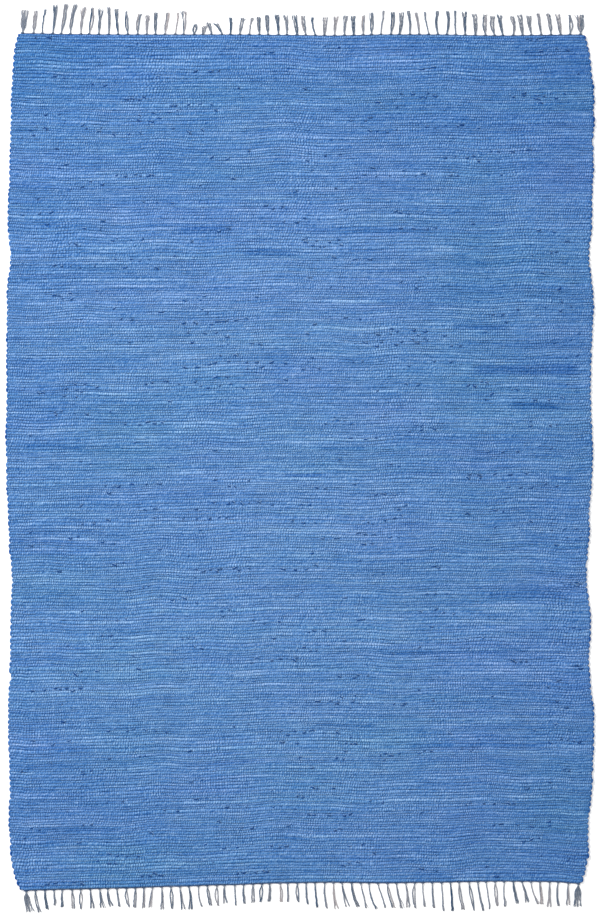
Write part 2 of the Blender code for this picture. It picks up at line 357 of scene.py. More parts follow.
# The warp's stitches in painted shade: darker than the warp yarn, where the warp draws the rag in.
STITCH_IN_SHADE = (40, 80, 140)
HEADING_COLOUR = (74, 96, 132)
WARP_COLOUR = (109, 119, 134)
RAMP_STOPS = 7
RAMP_REACH = 66.0  # tones at the two ends of the colour ramp
YARN_RAMP_REACH = 60.0
COTTON = {"Sheen Weight": 0.02, "Sheen Roughness": 0.6, "Specular IOR Level": 0.10}
BUMP_DEPTH = 0.8

# The rag's bump and colour. A grain is a noise in millimetres along and across the rag, squeezed along it.
ROW_DEPTH_MM = 7.8
ROW_STEP_MM = 41.3  # from a row's noise to the next row's
Grain = namedtuple("Grain", "along scale detail roughness tone height")
WOBBLE = Grain(1.0, 0.35, 1.0, 0.5, 0.0, 0.0)
LANES = Grain(0.045, 0.33, 1.0, 0.4, 54.0, 0.0)
FOLDS = Grain(0.32, 0.85, 2.0, 0.6, 40.0, 1.8)
CRUMPLE = Grain(1.0, 0.30, 1.0, 0.5, 120.0, 0.0)
FIBRE = Grain(1.0, 2.2, 2.0, 0.6, 20.0, 0.25)
SPOTS = Grain(0.50, 0.36, 1.0, 0.5, -62.0, -0.8)  # places where the rag has drawn in, with painted shade in the gaps
SHADE_DOWN_MM = 1.5  # lanes and crumples are lit on one side: a noise less the same noise beside it
SHADE_ALONG_MM = 1.6
PUFF_TONE = 14.0  # from puff to puff
PUFF_HEIGHT = 0.3

# A drift is a noise over many rows: along is for each millimetre of rag, down for each row, and start moves it.
Drift = namedtuple("Drift", "along down start scale detail")
LOOSENESS = Drift(0.014, 0.12, 0.0, 1.0, 2.0)
PACKING = Drift(0.006, 1.0, 0.0, 0.9, 1.0)
CREST = Drift(0.006, 1.7, 70.0, 0.9, 1.0)

# A change holds its first value up to low, and its second from high.
Change = namedtuple("Change", "low high first second")
PINCH = Change(0.38, 0.60, 0.25, 1.0)  # how far the warp draws the rag in, by its looseness
STITCH_ALONG = Change(0.07, 0.11, 1.0, 0.0)
STITCH_ACROSS = Change(0.75, 1.0, 1.0, 0.0)
GAP_SPOTS = Change(0.55, 0.64, 0.0, 1.0)
GAP_ACROSS = Change(0.30, 0.75, 0.1, 1.0)
# A painted highlight along some rows, just off their middles
RIDGE = Change(0.08, 0.24, 1.0, 0.0)
RIDGE_PLACE = 0.38  # across the row
RIDGE_HIGHLIGHT = Change(0.52, 0.72, -2.0, 28.0)
GROOVE = Change(0.0, 0.66, 1.0, 0.0)
GROOVE_SHADE_TONE = Change(0.36, 0.66, 29.58, 100.05)  # painted shade: how much darker it is between the puffs, by their packing
RAG_ROUGHNESS = Change(0.3, 0.7, 0.80, 0.96)
YARN_ROUGHNESS = Change(0.3, 0.7, 0.78, 0.95)

# Stage
FLOOR_COLOUR = (0.96, 0.96, 0.96, 1.0)
FLOOR_REACH = 30.0
KEY_PLACE = (-6.0, 5.0, 5.0)  # it points at the rug's middle
KEY_SIZE = 2.6
KEY_POWER = 950.0
SKY_STRENGTH = 0.95
CAMERA_HEIGHT = 8.0
VIEW_LENGTH = 2.4915  # what the picture's height spans at the rug
SENSOR = 36.0


# Tables and noise

def smooth(share):
    return share * share * (3.0 - 2.0 * share)


def eased(rows, place, column):
    """A column of a table at a place between two of its rows, with a smooth step from row to row."""
    if place <= rows[0][0]:
        return getattr(rows[0], column)
    for low, high in zip(rows, rows[1:]):
        if place <= high[0]:
            share = smooth((place - low[0]) / (high[0] - low[0]))
            return getattr(low, column) * (1.0 - share) + getattr(high, column) * share
    return getattr(rows[-1], column)


def light_falloff(x, y):
    """The tone of the broad painted light falloff at places on the rug."""
    tone = 0.0
    for rows, places in ((FALLOFF_ALONG, y), (FALLOFF_ACROSS, x)):
        tone = tone + np.interp(places, [row.place for row in rows], [row.tone for row in rows])
    return tone


def knotted_noise(dice, lines, places, spacing):
    """Smooth noise along each of several lines, from normal values at knots that are spacing apart."""
    steps = (places - places[0]) / spacing
    knots = dice.normal(0.0, 1.0, (lines, int(steps[-1]) + 2))
    index = steps.astype(int)
    share = smooth(steps - index)
    return knots[:, index] * (1.0 - share) + knots[:, index + 1] * share


class Patches:
    """Smooth noise of about unit spread over the whole rug, from normal values at the corners of a grid."""

    def __init__(self, dice, size):
        self.size = size
        self.middle = (int(LINE_REACH / size[0]) + 2, int(PATCH_REACH / size[1]) + 2)
        self.knots = dice.normal(0.0, 1.25, (2 * self.middle[0] + 2, 2 * self.middle[1] + 2))

    def at(self, x, y):
        column = x / self.size[0] + self.middle[0]
        row = y / self.size[1] + self.middle[1]
        i = np.floor(column).astype(int)
        j = np.floor(row).astype(int)
        a = smooth(column - i)
        b = smooth(row - j)
        near = self.knots[i, j] * (1.0 - a) + self.knots[i + 1, j] * a
        far = self.knots[i, j + 1] * (1.0 - a) + self.knots[i + 1, j + 1] * a
        return near * (1.0 - b) + far * b


def drifting_noise(dice, steps, length):
    """Noise of unit spread at stations along a line that forgets itself over the given length."""
    kept = np.exp(-steps / length)
    fresh = dice.normal(0.0, 1.0, len(steps)) * np.sqrt(1.0 - kept * kept)
    values = np.empty(len(steps))
    value = dice.normal()
    for index in range(len(steps)):
        value = kept[index] * value + fresh[index]
        values[index] = value
    return values


def station_steps(path):
    """The distance to each station of a line from the one before."""
    return np.hypot(np.diff(path[:, 0], prepend=path[0, 0]), np.diff(path[:, 1], prepend=path[0, 1]))


# Swept meshes

def normalised(vectors):
    return vectors / np.maximum(np.linalg.norm(vectors, axis=-1, keepdims=True), 1e-12)


def sweep(centres, half_widths, half_heights, sides, up=(0.0, 0.0, 1.0), power=2.0):
    """Rings swept along several lines at once.

    centres is lines x stations x 3, and the half sizes are lines x stations. Gives lines x stations x sides
    x 3. A ring starts on the line's right-hand side and goes over its top.
    """
    tangents = normalised(np.gradient(centres, axis=1))
    right = normalised(np.cross(tangents, np.array(up)))
    lift = np.cross(right, tangents)
    angles = 2.0 * np.pi * np.arange(sides) / sides
    out = np.sign(np.cos(angles)) * np.abs(np.cos(angles)) ** (2.0 / power)
    rise = np.sign(np.sin(angles)) * np.abs(np.sin(angles)) ** (2.0 / power)
    sideways = half_widths[:, :, None, None] * out[None, None, :, None] * right[:, :, None, :]
    upward = half_heights[:, :, None, None] * rise[None, None, :, None] * lift[:, :, None, :]
    return centres[:, :, None, :] + sideways + upward


def tube_faces(lines, stations, sides):
    """The quads between neighbouring rings, then the two caps of each line, as vertex numbers."""
    first = np.arange(lines)[:, None, None] * stations * sides
    ring = np.arange(stations - 1)[None, :, None] * sides
    spot = np.arange(sides)[None, None, :]
    after = (spot + 1) % sides
    base = first + ring
    quads = np.stack([base + spot, base + sides + spot, base + sides + after, base + after], axis=-1)
    starts = np.arange(lines)[:, None] * stations * sides + np.arange(sides)[None, :]
    ends = starts + (stations - 1) * sides
    return quads.reshape(-1, 4), np.concatenate([starts, ends[:, ::-1]])


def placed(name, data):
    """A new object in the scene."""
    thing = bpy.data.objects.new(name, data)
    bpy.context.scene.collection.objects.link(thing)
    return thing


class Shell:
    """The vertices, faces, maps and values of one piece, gathered from several sweeps."""

    def __init__(self):
        self.verts = []
        self.quads = []
        self.caps = []
        self.maps = {}
        self.cap_maps = {}
        self.values = {}
        self.count = 0

    def add(self, rings, maps, cap_maps, values):
        """rings is lines x stations x sides x 3. A map has a u, v pair for each corner of each quad, and a
        cap map has one for each corner of each cap. A value has one number for each ring."""
        lines, stations, sides, _ = rings.shape
        quads, caps = tube_faces(lines, stations, sides)
        self.verts.append(rings.reshape(-1, 3))
        self.quads.append(quads + self.count)
        self.caps.append(caps + self.count)
        for kept, given in ((self.maps, maps), (self.cap_maps, cap_maps)):
            for name, pairs in given.items():
                kept.setdefault(name, []).append(pairs.reshape(-1, 2))
        for name, numbers in values.items():
            self.values.setdefault(name, []).append(np.repeat(numbers.reshape(-1), sides))
        self.count += lines * stations * sides

    def make(self, name, material):
        verts = np.concatenate(self.verts)
        quads = np.concatenate(self.quads)
        corners = np.concatenate([quads.reshape(-1)] + [caps.reshape(-1) for caps in self.caps])
        totals = [np.full(len(quads), 4)] + [np.full(len(caps), caps.shape[1]) for caps in self.caps]
        totals = np.concatenate(totals)
        mesh = bpy.data.meshes.new(name)
        mesh.vertices.add(len(verts))
        mesh.vertices.foreach_set("co", verts.astype(np.float32).reshape(-1))
        mesh.loops.add(len(corners))
        mesh.loops.foreach_set("vertex_index", corners.astype(np.int32))
        mesh.polygons.add(len(totals))
        mesh.polygons.foreach_set("loop_start", (np.cumsum(totals) - totals).astype(np.int32))
        mesh.polygons.foreach_set("loop_total", totals.astype(np.int32))
        mesh.update(calc_edges=True)
        mesh.polygons.foreach_set("use_smooth", np.ones(len(totals), bool))
        for map_name in self.maps:
            spots = np.concatenate(self.maps[map_name] + self.cap_maps[map_name])
            mesh.uv_layers.new(name=map_name).data.foreach_set("uv", spots.astype(np.float32).reshape(-1))
        for value_name, numbers in self.values.items():
            attribute = mesh.attributes.new(value_name, "FLOAT", "POINT")
            attribute.data.foreach_set("value", np.concatenate(numbers).astype(np.float32))
        mesh.materials.append(material)
        return placed(name, mesh)


def corner_pairs(low_u, high_u, low_v, high_v):
    """A map's pairs for quads whose rings run along u and whose sides go round along v."""
    low_u, high_u, low_v, high_v = np.broadcast_arrays(low_u, high_u, low_v, high_v)
    u = np.stack([low_u, high_u, high_u, low_u], axis=-1)
    v = np.stack([low_v, low_v, high_v, high_v], axis=-1)
    return np.stack([u, v], axis=-1)


def cap_circles(sides, centres, radius):
    """Small round places for caps in a map, one at each centre."""
    angles = 2.0 * np.pi * np.arange(sides) / sides
    circle = np.stack([np.cos(angles), np.sin(angles)], axis=-1) * radius
    return np.asarray(centres)[:, None, :] + circle


# The field's outline

def edge_curve(spots, column):
    """A function that gives an edge's place across, from a place along it in the given column."""
    spots = spots[np.argsort(spots[:, column], kind="stable")]
    return lambda places: np.interp(places, spots[:, column], spots[:, 1 - column])


class Outline:
    """The field's four edges, read from the upright wall of the CAD model."""

    def __init__(self):
        spots = np.array([vertex.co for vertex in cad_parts["woven_field"].data.vertices])
        low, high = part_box("woven_field")
        wall = spots[(spots[:, 2] > low.z + WALL_MARGIN) & (spots[:, 2] < high.z - WALL_MARGIN)]
        side = (high.x - low.x) / SIDE_PARTS
        end = (high.y - low.y) / END_PARTS
        self.left_x = edge_curve(wall[wall[:, 0] < low.x + side, :2], 1)
        self.right_x = edge_curve(wall[wall[:, 0] > high.x - side, :2], 1)
        self.far_y = edge_curve(wall[wall[:, 1] > high.y - end, :2], 0)
        self.near_y = edge_curve(wall[wall[:, 1] < low.y + end, :2], 0)


# The rows of rag

class Weave:
    """Where the rows and the warp ends lie: values at places across the rug, row by row."""

    def __init__(self, outline, dice):
        self.outline = outline
        self.across = np.linspace(-LINE_REACH, LINE_REACH, LINE_POINTS)
        self.lay_rows(dice)
        self.space_warp(dice)

    def carried(self, dice, fresh, kept):
        """Noise along each row that is mostly taken over from the row before."""
        noise = knotted_noise(dice, ROWS + 1, self.across, fresh)
        for row in range(1, ROWS + 1):
            noise[row] = kept * noise[row - 1] + math.sqrt(1.0 - kept * kept) * noise[row]
        return noise

    def lay_rows(self, dice):
        low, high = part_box("heading_far")
        along_edge = np.clip(self.across, low.x, high.x)
        far = self.outline.far_y(along_edge)
        near = self.outline.near_y(along_edge)
        pitch = (far - near) / ROWS
        rows = np.arange(ROWS + 1)
        settled = np.minimum(np.minimum(rows, ROWS - rows) / SETTLING_ROWS, 1.0)
        drift = WANDER * self.carried(dice, WANDER_KNOTS, WANDER_KEPT) * settled[:, None]
        beat = 1.0 + dice.normal(0.0, BEAT_UNEVENNESS, (ROWS, 1))
        least, most = ROW_WIDTHS
        widths = np.clip(pitch * beat + np.diff(drift, axis=0), least * pitch, most * pitch)
        self.widths = widths * (far - near) / widths.sum(axis=0)
        self.middles = far - np.cumsum(self.widths, axis=0) + self.widths / 2

    def space_warp(self, dice):
        crowding = 1.0 + WARP_CROWDING * self.carried(dice, CROWDING_KNOTS, CROWDING_KEPT)[1:]
        self.ends = np.cumsum(np.maximum(crowding, LEAST_CROWDING), axis=1)

    def kept_from_corner(self, row, end):
        """The y at which a row's end meets the side. The rows' own ends round the corners off."""
        lowest = self.middles[-1, end] + CORNER_ROWS
        highest = self.middles[0, end] - CORNER_ROWS
        return min(max(self.middles[row, end], lowest), highest)

    def row_path(self, row, reaches):
        """A row's stations from its left to its right end: x, y, the row's width and the warp ends passed."""
        low = self.outline.left_x(self.kept_from_corner(row, 0)) + reaches[row, 0]
        high = self.outline.right_x(self.kept_from_corner(row, -1)) - reaches[row, 1]
        inner = np.linspace(low + END_ROOM, high - END_ROOM, ROW_SEGMENTS + 1 - 2 * len(END_STEPS))
        x = np.concatenate([low + np.array(END_STEPS), inner, high - np.array(END_STEPS)[::-1]])
        ends = np.interp(x, self.across, self.ends[row])
        ends = WARP_ENDS * (ends - ends[0]) / (ends[-1] - ends[0])
        y = np.interp(x, self.across, self.middles[row])
        width = np.interp(x, self.across, self.widths[row])
        return x, y, width, ends


def band_path(band, weave, reaches):
    """One shuttle-load's line, back and forth, with a turn at each selvedge.

    Gives x, y, half width, the row number and the warp ends passed at each station."""
    parts = []
    rows = range(band * ROWS_PER_BAND, (band + 1) * ROWS_PER_BAND)
    for row in rows:
        x, y, width, ends = weave.row_path(row, reaches)
        rightward = row % 2 == 0
        if not rightward:
            x, y, width, ends = x[::-1], y[::-1], width[::-1], ends[::-1]
        parts.append(np.stack([x, y, width * RAG_OVERLAP / 2, np.full(len(x), row), ends], axis=1))
        if row + 1 in rows:
            following = weave.row_path(row + 1, reaches)
            at = -1 if rightward else 0
            outward = 1.0 if rightward else -1.0
            end_x = (x[-1] + following[0][at]) / 2
            drop = (y[-1] - following[1][at]) / 2
            half = (width[-1] + following[2][at]) / 4 * TURN_NARROWING
            for step, angle in enumerate(TURN_ANGLES):
                turned = math.radians(angle)
                past = TURN_REACH * math.cos(turned) ** (2.0 / TURN_SQUARENESS)
                spot_x = end_x + outward * past
                rise = math.copysign(abs(math.sin(turned)) ** (2.0 / TURN_SQUARENESS), turned)
                spot_y = y[-1] - drop + drop * rise
                spot_row = row if step < 2 else row + 1
                spot_ends = ends[-1] + outward * past / TURN_REACH
                parts.append(np.array([[spot_x, spot_y, half, spot_row, spot_ends]]))
    return np.concatenate(parts)


def rag_tones(path, outline, patches, dice):
    """Tone and tint along a shuttle-load's line: streaks, strips of rag, patches, painted light falloff and
    accents.
    """
    steps = station_steps(path)
    tone = drifting_noise(dice, steps, STREAK_LENGTH) * STREAK_TONE
    tint = drifting_noise(dice, steps, TINT_LENGTH) * ROW_TINT
    travelled = np.cumsum(steps)
    start = 0.0
    while start < travelled[-1]:
        stop = start + dice.uniform(*STRIP_LENGTHS)
        on_strip = (travelled >= start) & (travelled < stop)
        tone[on_strip] += dice.normal(0.0, STRIP_TONE)
        tint[on_strip] += dice.normal(0.0, STRIP_TINT)
        start = stop
    x, y, half = path[:, 0], path[:, 1], path[:, 2]
    # painted light falloff
    tone += light_falloff(x, y)
    tone += patches["patch"].at(x, y) * PATCH_TONE + patches["broad"].at(x, y) * BROAD_TONE
    tint += patches["tint"].at(x, y) * PATCH_TINT
    for accent in ACCENTS:
        off_middle = np.abs(x - (accent.left + accent.right) / 2)
        off_middle += ACCENT_ROW_WEIGHT * np.abs(y - accent.up)
        nearest = int(np.argmin(off_middle))
        if abs(y[nearest] - accent.up) > half[nearest]:
            continue
        on_rows = (path[:, 3] >= path[nearest, 3]) & (path[:, 3] < path[nearest, 3] + accent.rows)
        inside = np.minimum(x - accent.left, accent.right - x)
        share = np.clip(inside / ACCENT_FADE, 0.0, 1.0) * on_rows
        tone += share * (accent.tone - ACCENT_COVER * tone)
        tint += share * accent.tint
    side_gap = np.minimum(x - outline.left_x(y), outline.right_x(y) - x)
    tone -= EDGE_TONE * np.clip(1.0 - side_gap / EDGE_WIDTH, 0.0, 1.0)
    return tone, tint


def rag_maps(path, band):
    """The two maps of a shuttle-load: "weave", in warp ends and rows, and "OFBake", for baked pictures."""
    quarter = RAG_SIDES // 2
    spot = np.arange(RAG_SIDES)[None, :]
    row = path[:-1, 3:4]
    rightward = row % 2 == 0
    # The ring's first spot is on the right-hand side of the line, which is the near side of a rightward row.
    low_share = np.where(spot < quarter, spot, RAG_SIDES - spot) / quarter
    high_share = np.where(spot < quarter, spot + 1, RAG_SIDES - spot - 1) / quarter
    under = spot >= quarter
    low_near = np.where(rightward, 1.0 - low_share, low_share)
    high_near = np.where(rightward, 1.0 - high_share, high_share)
    low_u = path[:-1, 4:5]
    high_u = path[1:, 4:5]

    def weave_v(near):
        return row + ROW_MARGIN + (1.0 - 2.0 * ROW_MARGIN) * near + under

    # The baked picture has a chart each for the left and right halves, seen from above and from below.
    half_ends = WARP_ENDS / 2
    on_right = (low_u + high_u) / 2 >= half_ends
    chart = on_right + 2 * under
    strip = row - band * ROWS_PER_BAND

    def picture_u(ends):
        from_left = np.where(on_right, ends - half_ends, ends + 2.0)
        return PICTURE_LOW + from_left / (half_ends * CHART_SPARE) * PICTURE_SPAN

    def picture_v(near):
        return TAIL_CHART * (chart + 0.02 + 0.96 * (strip + near) / ROWS_PER_BAND) / 4

    weave = corner_pairs(low_u, high_u, weave_v(low_near), weave_v(high_near))
    bake = corner_pairs(picture_u(low_u), picture_u(high_u), picture_v(low_near), picture_v(high_near))
    return weave, bake


def tail_middles(weave, band, dice):
    """Where a band's tails lie. Some lie in a string along one row."""
    rows = band * ROWS_PER_BAND + dice.integers(1, ROWS_PER_BAND - 1, TAILS)
    x = dice.uniform(-TAIL_SIDE, TAIL_SIDE, TAILS)
    for index in range(1, TAILS):
        if dice.random() < TAIL_NEIGHBOUR:
            rows[index] = rows[index - 1]
            x[index] = x[index - 1] + dice.uniform(*TAIL_GAP)
    x = np.clip(x, -TAIL_SIDE, TAIL_SIDE)
    y = np.array([np.interp(spot, weave.across, weave.middles[row]) for spot, row in zip(x, rows)])
    return x, y + dice.uniform(-TAIL_OFF_ROW, TAIL_OFF_ROW, TAILS)


def tail_maps(kind_index, length):
    """The maps of all the tails of a kind, and the maps of their caps.

    In the weave map a tail is a stretch of an even row of its own, far from the woven rows."""
    number = np.arange(TAILS)[:, None, None]
    low_ring = np.arange(TAIL_STATIONS - 1)[None, :, None]
    low_spot = np.arange(TAIL_SIDES)[None, None, :]
    corners = (low_ring, low_ring + 1, low_spot, low_spot + 1)
    cell = number + TAILS * kind_index
    cells = TAILS * len(TAIL_KINDS)
    own_u = 10.0 * cell
    own_v = 2.0 * (ROWS + number) + ROW_MARGIN
    own_reach = length[:, :, None] / END_SPACING

    def weave_u(ring):
        return own_u + own_reach * ring / (TAIL_STATIONS - 1)

    def weave_v(spot):
        share = np.minimum(spot, TAIL_SIDES - spot) / (TAIL_SIDES // 2)
        return own_v + (1.0 - 2.0 * ROW_MARGIN) * share

    def picture_u(ring):
        return PICTURE_LOW + PICTURE_SPAN * (cell + 0.05 + 0.9 * ring / (TAIL_STATIONS - 1)) / cells

    def picture_v(spot):
        return TAIL_CHART + TAIL_CHART_SPAN * spot / TAIL_SIDES

    def pairs(u, v):
        return corner_pairs(u(corners[0]), u(corners[1]), v(corners[2]), v(corners[3]))

    cap_cells = np.concatenate([cell[:, 0, 0] + 0.25, cell[:, 0, 0] + 0.75])
    cap_u = PICTURE_LOW + PICTURE_SPAN * cap_cells / cells
    cap_spots = np.stack([cap_u, np.full(2 * TAILS, TAIL_CAPS)], axis=1)
    weave_spots = np.stack([np.tile(own_u[:, 0, 0], 2), np.tile(own_v[:, 0, 0] + 0.5, 2)], axis=1)
    cap_weave = cap_circles(TAIL_SIDES, weave_spots, 0.2)
    cap_bake = cap_circles(TAIL_SIDES, cap_spots, 0.0009)
    maps = {"weave": pairs(weave_u, weave_v), "OFBake": pairs(picture_u, picture_v)}
    return maps, {"weave": cap_weave, "OFBake": cap_bake}


def add_tails(shell, weave, band, patches, dice):
    """Short curled tubes that lie in the rows' upper side, each kind in its own tone: painted shade of a
    crease, and beside it a painted highlight.
    """
    middle_x, middle_y = tail_middles(weave, band, dice)
    length = dice.uniform(*TAIL_LENGTHS, TAILS)[:, None]
    slant = dice.normal(0.0, TAIL_SLANT, TAILS)[:, None]
    bend = dice.normal(0.0, TAIL_TURN, TAILS)[:, None]
    # The tails get the painted light falloff and the patch tone at their places.
    place_tone = light_falloff(middle_x, middle_y) + patches["patch"].at(middle_x, middle_y) * PATCH_TONE
    along = np.linspace(0.0, 1.0, TAIL_STATIONS)[None, :]
    angle = slant + bend * (along - 0.5)
    step = length / (TAIL_STATIONS - 1)
    x = middle_x[:, None] + np.cumsum(np.cos(angle) * step, axis=1) - length / 2
    y = middle_y[:, None] + np.cumsum(np.sin(angle) * step, axis=1)
    nothing = np.zeros_like(x)
    level = TAIL_LEVEL + TAIL_RISE * np.sin(np.pi * along) + nothing
    fullness = TAIL_END + (1.0 - TAIL_END) * np.sin(np.pi * along) ** TAIL_BLUNTNESS + nothing
    for kind_index, kind in enumerate(TAIL_KINDS):
        centres = np.stack([x - np.sin(angle) * kind.offset, y + np.cos(angle) * kind.offset, level], axis=-1)
        width = kind.half_width * dice.uniform(*TAIL_WIDTHS, (TAILS, 1)) * dice.uniform(*TAIL_LUMPS, x.shape)
        rings = sweep(centres, width * fullness, TAIL_HALF_HEIGHT * fullness, TAIL_SIDES)
        tone = (place_tone + kind.tone + dice.normal(0.0, TAIL_TONE, TAILS))[:, None] + nothing
        shell.add(rings, *tail_maps(kind_index, length), {"tone": tone, "tint": nothing})


def turn_jitter(dice):
    """How far each row's two ends stick out or stay in. Neighbours are alike, and a few turns are loose."""
    jitter = np.zeros((ROWS, 2))
    fresh = dice.normal(0.0, TURN_UNEVENNESS * math.sqrt(1.0 - TURN_KEPT ** 2), (ROWS, 2))
    for row in range(1, ROWS):
        jitter[row] = TURN_KEPT * jitter[row - 1] + fresh[row]
    loose = dice.random((ROWS // 2, 2)) < LOOSE_TURNS
    jitter += np.repeat(loose, 2, axis=0) * LOOSE_REACH * dice.uniform(*LOOSE_SHARES, (ROWS, 2))
    return jitter


def build_bands(outline, material, dice):
    """The woven field as shuttle-loads of rag, each one closed tube that goes back and forth."""
    weave = Weave(outline, dice)
    reaches = TURN_REACH + weave.widths[:, [0, -1]] / 2 * TURN_NARROWING - turn_jitter(dice)
    sizes = {"patch": PATCH_SIZE, "broad": BROAD_SIZE, "tint": TINT_SIZE}
    patches = {kind: Patches(dice, size) for kind, size in sizes.items()}
    bands = []
    for band in range(BANDS):
        path = band_path(band, weave, reaches)
        tone, tint = rag_tones(path, outline, patches, dice)
        steps = station_steps(path)
        plump = 1.0 + HEIGHT_UNEVENNESS * drifting_noise(dice, steps, PLUMP_LENGTH).clip(-2.0, 2.0)
        squeeze = 1.0 + WIDTH_UNEVENNESS * drifting_noise(dice, steps, SQUEEZE_LENGTH).clip(-2.2, 2.2)
        half_height = RAG_HALF_HEIGHT * plump
        half_width = path[:, 2] * squeeze
        centres = np.stack([path[:, 0], path[:, 1], half_height + REST_GAP], axis=1)[None]
        rings = sweep(centres, half_width[None], half_height[None], RAG_SIDES, power=RAG_SQUARENESS)
        weave_map, bake = rag_maps(path, band)
        line_ends = [(path[end, 4], path[end, 3] + 0.5) for end in (0, -1)]
        cap_weave = cap_circles(RAG_SIDES, line_ends, 0.3)
        cap_bake = cap_circles(RAG_SIDES, [(0.004, 0.3), (0.004, 0.6)], 0.002)
        shell = Shell()
        shell.add(
            rings,
            {"weave": weave_map, "OFBake": bake},
            {"weave": cap_weave, "OFBake": cap_bake},
            {"tone": tone, "tint": tint},
        )
        add_tails(shell, weave, band, patches, dice)
        bands.append(shell.make(f"rag_weft_{band + 1}", material))
    return bands


# Yarns

def yarn_maps(lengths, sides, rings_per_cell, first_cell, cells):
    """Maps for many yarns: "strand", once round by metres along, and "OFBake", a cell for each stretch."""
    lines, stations = lengths.shape
    ring = np.arange(stations - 1)[None, :, None]
    spot = np.arange(sides)[None, None, :]
    line = np.arange(lines)[:, None, None]
    cells_per_line = math.ceil((stations - 1) / rings_per_cell)
    cell = first_cell + line * cells_per_line + ring // rings_per_cell
    rows = math.ceil(cells / BAKE_COLUMNS)

    def picture_u(spots):
        return (cell % BAKE_COLUMNS + 0.08 + 0.80 * (spots / sides)) / BAKE_COLUMNS

    def picture_v(rings):
        return (cell // BAKE_COLUMNS + 0.05 + 0.88 * (rings / rings_per_cell)) / rows

    in_cell = ring % rings_per_cell
    strand = corner_pairs(lengths[:, :-1, None], lengths[:, 1:, None], spot / sides, (spot + 1) / sides)
    bake = corner_pairs(picture_v(in_cell), picture_v(in_cell + 1), picture_u(spot), picture_u(spot + 1))
    cap_cells = first_cell + np.arange(lines) * cells_per_line
    cap_cells = np.concatenate([cap_cells, cap_cells + cells_per_line - 1])
    cap_u = (cap_cells % BAKE_COLUMNS + 0.94) / BAKE_COLUMNS
    cap_v = (cap_cells // BAKE_COLUMNS + np.repeat([0.2, 0.7], lines)) / rows
    cap_bake = cap_circles(sides, np.stack([cap_u, cap_v], axis=1), 0.03 / BAKE_COLUMNS)
    cap_strand = cap_circles(sides, np.zeros((2 * lines, 2)), 0.1)
    maps = {"strand": strand[..., ::-1], "OFBake": bake[..., ::-1]}
    return maps, {"strand": cap_strand, "OFBake": cap_bake}


def add_yarns(shell, centres, radii, sides, tones, rings_per_cell, first_cell, cells, up=(0.0, 0.0, 1.0)):
    """Adds many yarns of as many stations each to a shell."""
    steps = np.linalg.norm(np.diff(centres, axis=1), axis=-1)
    lengths = np.concatenate([np.zeros((len(centres), 1)), np.cumsum(steps, axis=1)], axis=1)
    rings = sweep(centres, radii, radii, sides, up=up)
    shell.add(rings, *yarn_maps(lengths, sides, rings_per_cell, first_cell, cells), {"tone": tones})


def build_heading(name, node, tufts, edge_y, outward, material, dice):
    """A two-ply twisted cord along one end of the field. Each tuft pulls it out a little."""
    low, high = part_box(node)
    turns = (high.x - low.x) / HEADING_TURN
    stations = int(turns * HEADING_STEPS) + 1
    x = np.linspace(low.x - HEADING_OVERHANG, high.x + HEADING_OVERHANG, stations)
    angle = 2.0 * np.pi * np.arange(stations) / HEADING_STEPS
    middle_y = edge_y(np.clip(x, low.x, high.x)) + outward * (PLY_RADIUS + PLY_ORBIT)
    from_tuft = np.abs(x[:, None] - np.array([tuft.base for tuft in tufts])[None, :]).min(axis=1)
    middle_y += outward * TUFT_PULL * np.clip(1.0 - from_tuft / TUFT_PULL_REACH, 0.0, 1.0)
    middle_y -= outward * np.maximum(np.maximum(low.x - x, x - high.x), 0.0)
    centres = []
    for ply in range(HEADING_PLIES):
        turned = angle + 2.0 * np.pi * ply / HEADING_PLIES
        y = middle_y + PLY_ORBIT * np.cos(turned)
        z = PLY_RADIUS + PLY_ORBIT + PLY_ORBIT * np.sin(turned)
        centres.append(np.stack([x, y, z], axis=1))
    centres = np.stack(centres)
    radii = np.full(centres.shape[:2], PLY_RADIUS)
    streaks = [drifting_noise(dice, np.ones(stations), HEADING_STREAK) for _ in range(HEADING_PLIES)]
    cells = HEADING_PLIES * math.ceil((stations - 1) / HEADING_CELL)
    shell = Shell()
    add_yarns(shell, centres, radii, HEADING_SIDES, np.stack(streaks) * HEADING_TONE, HEADING_CELL, 0, cells)
    return shell.make(name, material)


# Fringes

def lay_out_tufts(count, node, lay, dice):
    """Spaces the tufts along an end, and keeps each tip clear of the one before it."""
    low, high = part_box(node)
    first = low.x + FRINGE_INSET
    last = high.x - FRINGE_INSET
    pitch = (last - first) / (count - 1)
    tufts = []
    for index in range(count):
        even = first + pitch * index
        spread = eased(lay, even, "spread")
        base = even + dice.uniform(-PLACE_JITTER, PLACE_JITTER)
        tip = base + eased(lay, even, "lean") + dice.uniform(-LEAN_JITTER, LEAN_JITTER)
        length = eased(lay, even, "reach") + dice.uniform(-REACH_JITTER, REACH_JITTER)
        if index in (0, count - 1):
            spread = CORNER_SPREAD_WIDE
            base += math.copysign(CORNER_SHIFT, even)
            tip += math.copysign(CORNER_SHIFT, even)
        if tufts:
            room = (tufts[-1].spread + spread) / 2 + TUFT_CLEARANCE
            tip = max(tip, tufts[-1].tip + room)
        tufts.append(Tuft(base, tip, length, spread))
    return tufts


